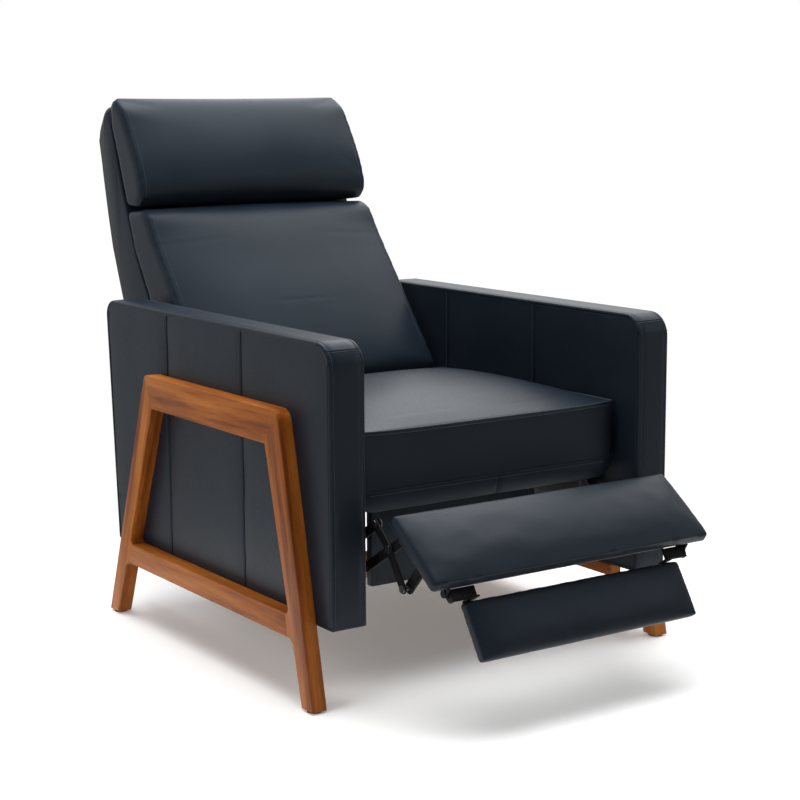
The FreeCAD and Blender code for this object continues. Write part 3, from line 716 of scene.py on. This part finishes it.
low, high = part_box("seat_border")
strip_lap = 0.007
strip_proud = 0.0024
strip_hem = 0.002
strip_half = 0.2672
strip_round = 0.2200
strip_join = 0.012
join_half = 0.002
front_skin = 0.008
low.x, high.x = -strip_half, strip_half
low.y -= strip_proud
low.z -= strip_hem
high.z += strip_lap
piece = box_piece("border_strip", low, high)
bpy.ops.object.mode_set(mode="EDIT")
slice_at(0, even(low.x, high.x, 0.020) + [strip_join - join_half, strip_join, strip_join + join_half,
                                         -0.262, 0.262, -0.255, 0.255, -0.244, 0.244])
slice_at(2, even(low.z, high.z, 0.0045))
slice_at(1, [low.y + 0.003, low.y + front_skin])
work = bmesh.from_edit_mesh(piece.data)
for v in work.verts:
    drop = (high.z - v.co.z) / (high.z - low.z)
    front = max(0, 1 - (v.co.y - low.y) / front_skin)
    v.co.y += front * (0.0045 * drop ** 3 + 0.0005 * math.sin(v.co.x * 55) * drop)
    end = max(0, abs(v.co.x) - strip_round) / (strip_half - strip_round)
    v.co.y += front * 0.006 * end ** 4
    v.co.z += 0.010 * end ** 3 * drop
    v.co.x -= math.copysign(0.010 * end * drop ** 2.5, v.co.x)
    if abs(v.co.x - strip_join) < 0.0004 and front > 0.9:
        v.co.y += 0.0014
bmesh.update_edit_mesh(piece.data)
bpy.ops.object.mode_set(mode="OBJECT")
ease(piece, 0.0016, 3, sharp=50, smooth=50)
fit(piece, leather, "seat", "leather", "seat_border")

piece = near_copy("kick_panel", "kick_panel_leather")
ease(piece, 0.0025, 3, sharp=40, smooth=40)
fit(piece, leather, "seat", "leather", "kick_panel")
low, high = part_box("kick_panel")
sew("kick_panel_stitching", [[(x, low.y - 0.0003, z) for z in (low.z + 0.006, high.z - 0.01)]
                             for x in (low.x + 0.012, high.x - 0.012)], "seat")

# Seat cushion: a foam block in a boxed leather case, sewn at the top edge, with a
# broad crown and corners that lift a little. The case is stuffed, then crowned.
cushion_low, cushion_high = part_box("seat_cushion")
seat_seam = 0.427
seat_crown = 0.031
seat_ear = 0.0045
seat_corner = 0.012
seat_side_bulge = 0.0035
above_strip = 0.336
cloth_frames = 20
cloth_pressure = 4.0


def remesh(piece, voxel):
    pick_up(piece)
    skin = piece.modifiers.new("skin", "REMESH")
    skin.mode = "VOXEL"
    skin.voxel_size = voxel
    bpy.ops.object.modifier_apply(modifier=skin.name)


def smooth(piece, factor, times):
    pick_up(piece)
    relax = piece.modifiers.new("relax", "SMOOTH")
    relax.factor = factor
    relax.iterations = times
    bpy.ops.object.modifier_apply(modifier=relax.name)


def stuff(piece, sewn, reach, pressure=cloth_pressure):
    """Blows a case up like filled leather: sewn points stay, the rest moves as far as reach allows."""
    rest = [v.co.copy() for v in piece.data.vertices]
    held = piece.vertex_groups.new(name="sewn")
    for i, co in enumerate(rest):
        weight = sewn(co)
        if weight > 0:
            held.add([i], weight, "REPLACE")
    pick_up(piece)
    cloth = piece.modifiers.new("filling", "CLOTH")
    cloth.settings.quality = 4
    cloth.settings.use_pressure = True
    cloth.settings.uniform_pressure_force = pressure
    cloth.settings.effector_weights.gravity = 0
    cloth.settings.vertex_group_mass = "sewn"
    cloth.point_cache.frame_start = 1
    cloth.point_cache.frame_end = cloth_frames
    for number in range(1, cloth_frames + 1):
        scene.frame_set(number)
    bpy.ops.object.modifier_apply(modifier=cloth.name)
    scene.frame_set(1)
    piece.vertex_groups.clear()
    for v, co in zip(piece.data.vertices, rest):
        move = v.co - co
        most = reach(co)
        if move.length > most:
            move *= most / max(move.length, 1e-9)
        v.co = co + move


def finer(piece, levels=1):
    pick_up(piece)
    fine = piece.modifiers.new("finer", "SUBSURF")
    fine.levels = fine.render_levels = levels
    bpy.ops.object.modifier_apply(modifier=fine.name)
    bpy.ops.object.shade_smooth()


piece = box_piece("seat_cushion_leather",
                  (cushion_low.x + 0.0005, cushion_low.y - 0.0005, cushion_low.z - 0.003),
                  (cushion_high.x - 0.0005, cushion_high.y - 0.003, seat_seam + 0.003))
bpy.ops.object.mode_set(mode="EDIT")
select(piece, "edges", lambda e: abs(e.verts[0].co.z - e.verts[1].co.z) > 0.05)
bpy.ops.mesh.bevel(offset=seat_corner, segments=5)
bpy.ops.object.mode_set(mode="OBJECT")
remesh(piece, 0.006)
smooth(piece, 0.5, 1)


def seat_sewn(co):
    edge = min(cushion_high.x - abs(co.x), co.y - cushion_low.y, cushion_high.y - co.y)
    at_seam = abs(co.z - seat_seam) < 0.006 and edge < 0.013
    return 1.0 if at_seam or co.z < cushion_low.z + 0.008 else 0.0


def seat_reach(co):
    if co.z > seat_seam - 0.006:
        return seat_crown
    return seat_side_bulge * min(1, max(0, co.z - above_strip) / 0.02)


def seat_spread(co):
    """How far out a point is, across and along the cushion: 0 in the middle, 1 at the edge."""
    across = min(1, abs(co.x) / cushion_high.x)
    along = min(1, abs((co.y - cushion_low.y) / (cushion_high.y - cushion_low.y) * 2 - 1))
    return across, along


def corner_lift(co):
    across, along = seat_spread(co)
    return seat_ear * across ** 5 * along ** 5


def seat_top(co):
    """The crown the filling gives the case, full across and falling away to front and rear."""
    across, along = seat_spread(co)
    return seat_seam + corner_lift(co) + seat_crown * (1 - across ** 5.5) * (1 - along ** 2.6)


flat_top = {v.index for v in piece.data.vertices if v.co.z > seat_seam - 0.004}
stuff(piece, seat_sewn, seat_reach)
for v in piece.data.vertices:
    full = seat_top(v.co)
    if v.index in flat_top:
        stuffed = 0.12 * max(-0.012, min(0.012, v.co.z - full))
        v.co.z = full + stuffed * (1 if full > seat_seam + 0.012 else 0)
    elif v.co.z > above_strip and full < seat_seam + 0.006:
        v.co.z += (full - seat_seam) * 0.15 * (v.co.z - above_strip) / (seat_seam - above_strip)
smooth(piece, 0.5, 1)
finer(piece)
fit(piece, leather, "seat", "leather", "seat_cushion")
seat_leather = piece


def touch(piece, start, way):
    """Where a line from a point first meets a piece."""
    hit, spot, _, _ = piece.ray_cast(Vector(start), Vector(way).normalized())
    return spot if hit else None


def ring_points(piece, z, out=0.0):
    """Points round the front and sides of the seat cushion at one height, lifted at the corners."""
    lo, hi = cushion_low, cushion_high
    path = []

    def meet(start, way):
        spot = touch(piece, (start[0], start[1], z), way)
        if spot:
            path.append(Vector((spot.x, spot.y, z + corner_lift(spot))) - Vector(way).normalized() * out)

    for y in [hi.y - 0.03] + even(hi.y - 0.03, lo.y + seat_corner, 0.03):
        meet((lo.x - 0.1, y), (1, 0, 0))
    pivot = Vector((lo.x + seat_corner, lo.y + seat_corner, z))
    for i in range(0, 9):
        turn = math.radians(90 * i / 8)
        aim = Vector((-math.cos(turn), -math.sin(turn), 0))
        meet(pivot + aim * 0.1, tuple(-aim))
    for x in even(lo.x + seat_corner, hi.x - seat_corner, 0.02):
        meet((x, lo.y - 0.1), (0, 1, 0))
    mirror = [Vector((-p.x, p.y, p.z)) for p in path if p.x < lo.x + seat_corner + 0.0005]
    return path + mirror[::-1]


# The top seam bead takes the lighter colour, a painted highlight along its edge.
bead("seat_top_seam", [ring_points(seat_leather, seat_seam - 0.0005, 0.0002)], 0.0010, "seat", painted_highlight_seam)
strip_row = [(x, cushion_low.y - 0.0026, 0.3262) for x in (-0.240, -0.12, 0, 0.12, 0.240)]
sew("seat_stitching", [ring_points(seat_leather, seat_seam - 0.0058, 0.0001), strip_row], "seat")

# Back: a leather-covered shell, modelled closed behind its cushions, with steel ears
# that turn on the side plates, and two filled leather cushions fixed to it.
shell_outline = [(0.287, 0.300), (0.325, 0.402), (0.411, 0.577), (0.461, 0.657), (0.511, 0.776),
                 (0.530, 0.835), (0.552, 0.891), (0.557, 0.922), (0.566, 0.9355), (0.590, 0.9335),
                 (0.606, 0.910), (0.6055, 0.869), (0.595, 0.802), (0.578, 0.725), (0.562, 0.664),
                 (0.545, 0.620), (0.522, 0.563), (0.417, 0.300)]
shell_half = 0.2515
put_down()
bpy.ops.mesh.primitive_circle_add(vertices=len(shell_outline), fill_type="NGON")
piece = bpy.context.object
piece.name = piece.data.name = "back_shell_leather"
for v, (y, z) in zip(piece.data.vertices, shell_outline):
    v.co = (-shell_half, y, z)
bpy.ops.object.mode_set(mode="EDIT")
bpy.ops.mesh.select_all(action="SELECT")
bpy.ops.mesh.extrude_region_move(TRANSFORM_OT_translate={"value": (2 * shell_half, 0, 0)})
bpy.ops.mesh.select_all(action="SELECT")
bpy.ops.mesh.normals_make_consistent(inside=False)
select(piece, "edges", lambda e: all(v.co.z > 0.905 for v in e.verts)
       and abs(e.verts[0].co.x - e.verts[1].co.x) < 0.001)
bpy.ops.mesh.bevel(offset=0.024, segments=6)
bpy.ops.object.mode_set(mode="OBJECT")
ease(piece, 0.0045, 4, sharp=28, smooth=45)
fit(piece, leather, "back", "leather", "back_shell")
for side in ("left", "right"):
    steel_copy(side + "_back_bracket", "back", 0.0005, satin_black, "black_steel")


def cushion_from(node, name, voxel, shrink, relax):
    """A cushion case that starts a little smaller than the space it has."""
    piece = near_copy(node, name)
    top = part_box(node)[1]
    bpy.ops.object.mode_set(mode="EDIT")
    select(piece, "edges", lambda e: abs(e.verts[0].co.x - e.verts[1].co.x) < 0.001
           and all(v.co.z > top.z - 0.030 and abs(v.co.x) > top.x - 0.001 for v in e.verts))
    bpy.ops.mesh.bevel(offset=0.012, segments=4)
    bpy.ops.object.mode_set(mode="OBJECT")
    remesh(piece, voxel)
    less = piece.modifiers.new("less", "DISPLACE")
    less.mid_level = 0
    less.strength = -shrink
    bpy.ops.object.modifier_apply(modifier=less.name)
    smooth(piece, 0.5, relax)
    return piece


def fill_box(piece, node, over):
    """Brings a case back out to the space it has, a little over at the sides."""
    low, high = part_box(node)
    points = [v.co.copy() for v in piece.data.vertices]
    least = [min(p[i] for p in points) for i in range(3)]
    most = [max(p[i] for p in points) for i in range(3)]
    for v in piece.data.vertices:
        for i in range(3):
            share = (v.co[i] - least[i]) / (most[i] - least[i])
            v.co[i] = low[i] - over[i] + share * (high[i] - low[i] + 2 * over[i])


def round_out(piece, crown):
    """Adds the broad crown of the filling to a back cushion's front."""
    forward = Vector((0, -0.93, 0.37))
    half = max(v.co.x for v in piece.data.vertices)
    heights = [v.co.z for v in piece.data.vertices]
    middle = (max(heights) + min(heights)) / 2
    reach = (max(heights) - min(heights)) / 2
    for v in piece.data.vertices:
        facing = min(1, max(0, 1.7 * v.normal.dot(forward)))
        u = min(1, abs(v.co.x) / half)
        w = min(1, abs(v.co.z - middle) / reach)
        v.co += forward * crown * facing * (1 - u ** 2.6) * (1 - w ** 2)


def back_case(node, name, shrink, most, relax, crown):
    piece = cushion_from(node, name, 0.007, shrink, relax)
    side_x = max(v.co.x for v in piece.data.vertices)

    def case_sewn(co):
        return 1.0 if side_x - abs(co.x) < 0.010 else 0.0

    def case_reach(co):
        rise = min(1, max(0, side_x - abs(co.x) - 0.004) / 0.07)
        return 0.002 + (most - 0.002) * (1 - (1 - rise) ** 2.4)

    stuff(piece, case_sewn, case_reach)
    smooth(piece, 0.5, 2)
    fill_box(piece, node, (0.002, 0.0015, 0.002))
    round_out(piece, crown)
    finer(piece)
    fit(piece, leather, "back", "cushion", node)
    return piece


lumbar = back_case("lumbar_cushion", "lumbar_leather",
                   shrink=0.0020, most=0.010, relax=2, crown=0.017)
pillow = back_case("head_pillow", "pillow_leather",
                   shrink=0.0020, most=0.009, relax=2, crown=0.006)


def front_line(piece, x, bottom, top, out):
    """Points up the front of a back cushion, a set distance from its end."""
    path = []
    for z in [bottom] + even(bottom, top, 0.010) + [top]:
        spot = touch(piece, (x, -0.5, z), (0, 1, 0))
        if spot:
            path.append(spot + Vector((0, -out, 0)))
    return path


side_seam_in = 0.0085
side_stitch_in = 0.0140
for label, piece, bottom, top in (("lumbar", lumbar, 0.47, 0.722), ("pillow", pillow, 0.765, 0.930)):
    end_x = max(v.co.x for v in piece.data.vertices)
    seams = [front_line(piece, way * (end_x - side_seam_in), bottom, top, -0.0003) for way in (-1, 1)]
    rows = [front_line(piece, way * (end_x - side_stitch_in), bottom, top, 0.0001) for way in (-1, 1)]
    bead(label + "_side_seams", seams, 0.0009, "back")
    sew(label + "_stitching", rows, "back")

# Footrest linkage: flat steel links in satin black, riveted with dull steel rivets,
# and a tube that ties the two sides together.
link_bodies = {"drive": "drive_links", "carrier": "carrier_links", "long": "long_links",
               "ottoman": "ottoman_links", "control": "control_links"}
for link, body in link_bodies.items():
    for side in ("left", "right"):
        steel_copy(side + "_" + link + "_link", body, 0.0005, satin_black, "black_steel")
for side in ("left", "right"):
    steel_copy(side + "_ottoman_bracket", "footrest", 0.0006, satin_black, "black_steel")
    steel_copy(side + "_flipper_bracket", "flipper", 0.0006, satin_black, "black_steel")
finish(satin_black, "torque_tube")
finish(rivet_steel, "drive_rivets", "carrier_rivets", "long_link_rivets", "ottoman_link_rivets")
finish(satin_black, "board_rivets")

# Footrest board and flipper: plywood boards with a thin foam pad, wrapped in leather
# that folds under at the edges.
board_wood = raw_timber("board_plywood", across_grain, (0.42, 0.28, 0.16, 1), (0.30, 0.19, 0.10, 1))
finish(board_wood, "footrest_board", "flipper_board")


def wrapped_board(name, node, rear, tilt, length, half_width, thick, crown, lift, body):
    """A padded board: flat below, crowned above, with softly rolled edges."""
    put_down()
    bpy.ops.mesh.primitive_cube_add(size=2)
    piece = bpy.context.object
    piece.name = name
    piece.data.name = name
    bpy.ops.object.mode_set(mode="EDIT")
    bpy.ops.mesh.select_all(action="SELECT")
    bpy.ops.mesh.subdivide(number_cuts=23)
    bpy.ops.object.mode_set(mode="OBJECT")
    turn = math.radians(tilt)
    along = Vector((0, -math.cos(turn), -math.sin(turn)))
    above = Vector((0, -math.sin(turn), math.cos(turn)))
    start = Vector((0, rear[0], rear[1]))
    for v in piece.data.vertices:
        u, s, t = v.co.x, v.co.y, v.co.z
        ease_x = math.copysign(1 - (1 - abs(u)) ** 1.5, u)
        ease_y = math.copysign(1 - (1 - abs(s)) ** 1.5, s)
        swell = crown * (1 - abs(ease_x) ** 10) * (1 - abs(ease_y) ** 2.4)
        height = (lift - crown + swell) * (1 + t) / 2 - thick * (1 - t) / 2
        height += 0.0004 * noise.noise(Vector((u * 8, s * 3, t))) * (1 + t)
        v.co = (start + Vector((ease_x * half_width, 0, 0))
                + along * (length * (0.5 + ease_y / 2)) + above * height)
    pick_up(piece)
    bpy.ops.object.mode_set(mode="EDIT")
    bpy.ops.mesh.select_all(action="SELECT")
    bpy.ops.mesh.normals_make_consistent(inside=False)
    bpy.ops.object.mode_set(mode="OBJECT")
    remesh(piece, 0.0042)
    smooth(piece, 0.5, 4)
    finer(piece)
    fit(piece, leather, body, "leather", node)
    return piece


board_rear = (-0.4460, 0.3255)
flipper_rear = (-0.5529, 0.2047)
wrapped_board("footrest_pad_leather", "footrest_pad", board_rear, tilt=36.0, length=0.1425, half_width=0.2765,
              thick=0.0240, crown=0.0105, lift=0.0070, body="footrest")
wrapped_board("flipper_pad_leather", "flipper_pad", flipper_rear, tilt=58.0, length=0.0945, half_width=0.2150,
              thick=0.0220, crown=0.0095, lift=0.0050, body="flipper")
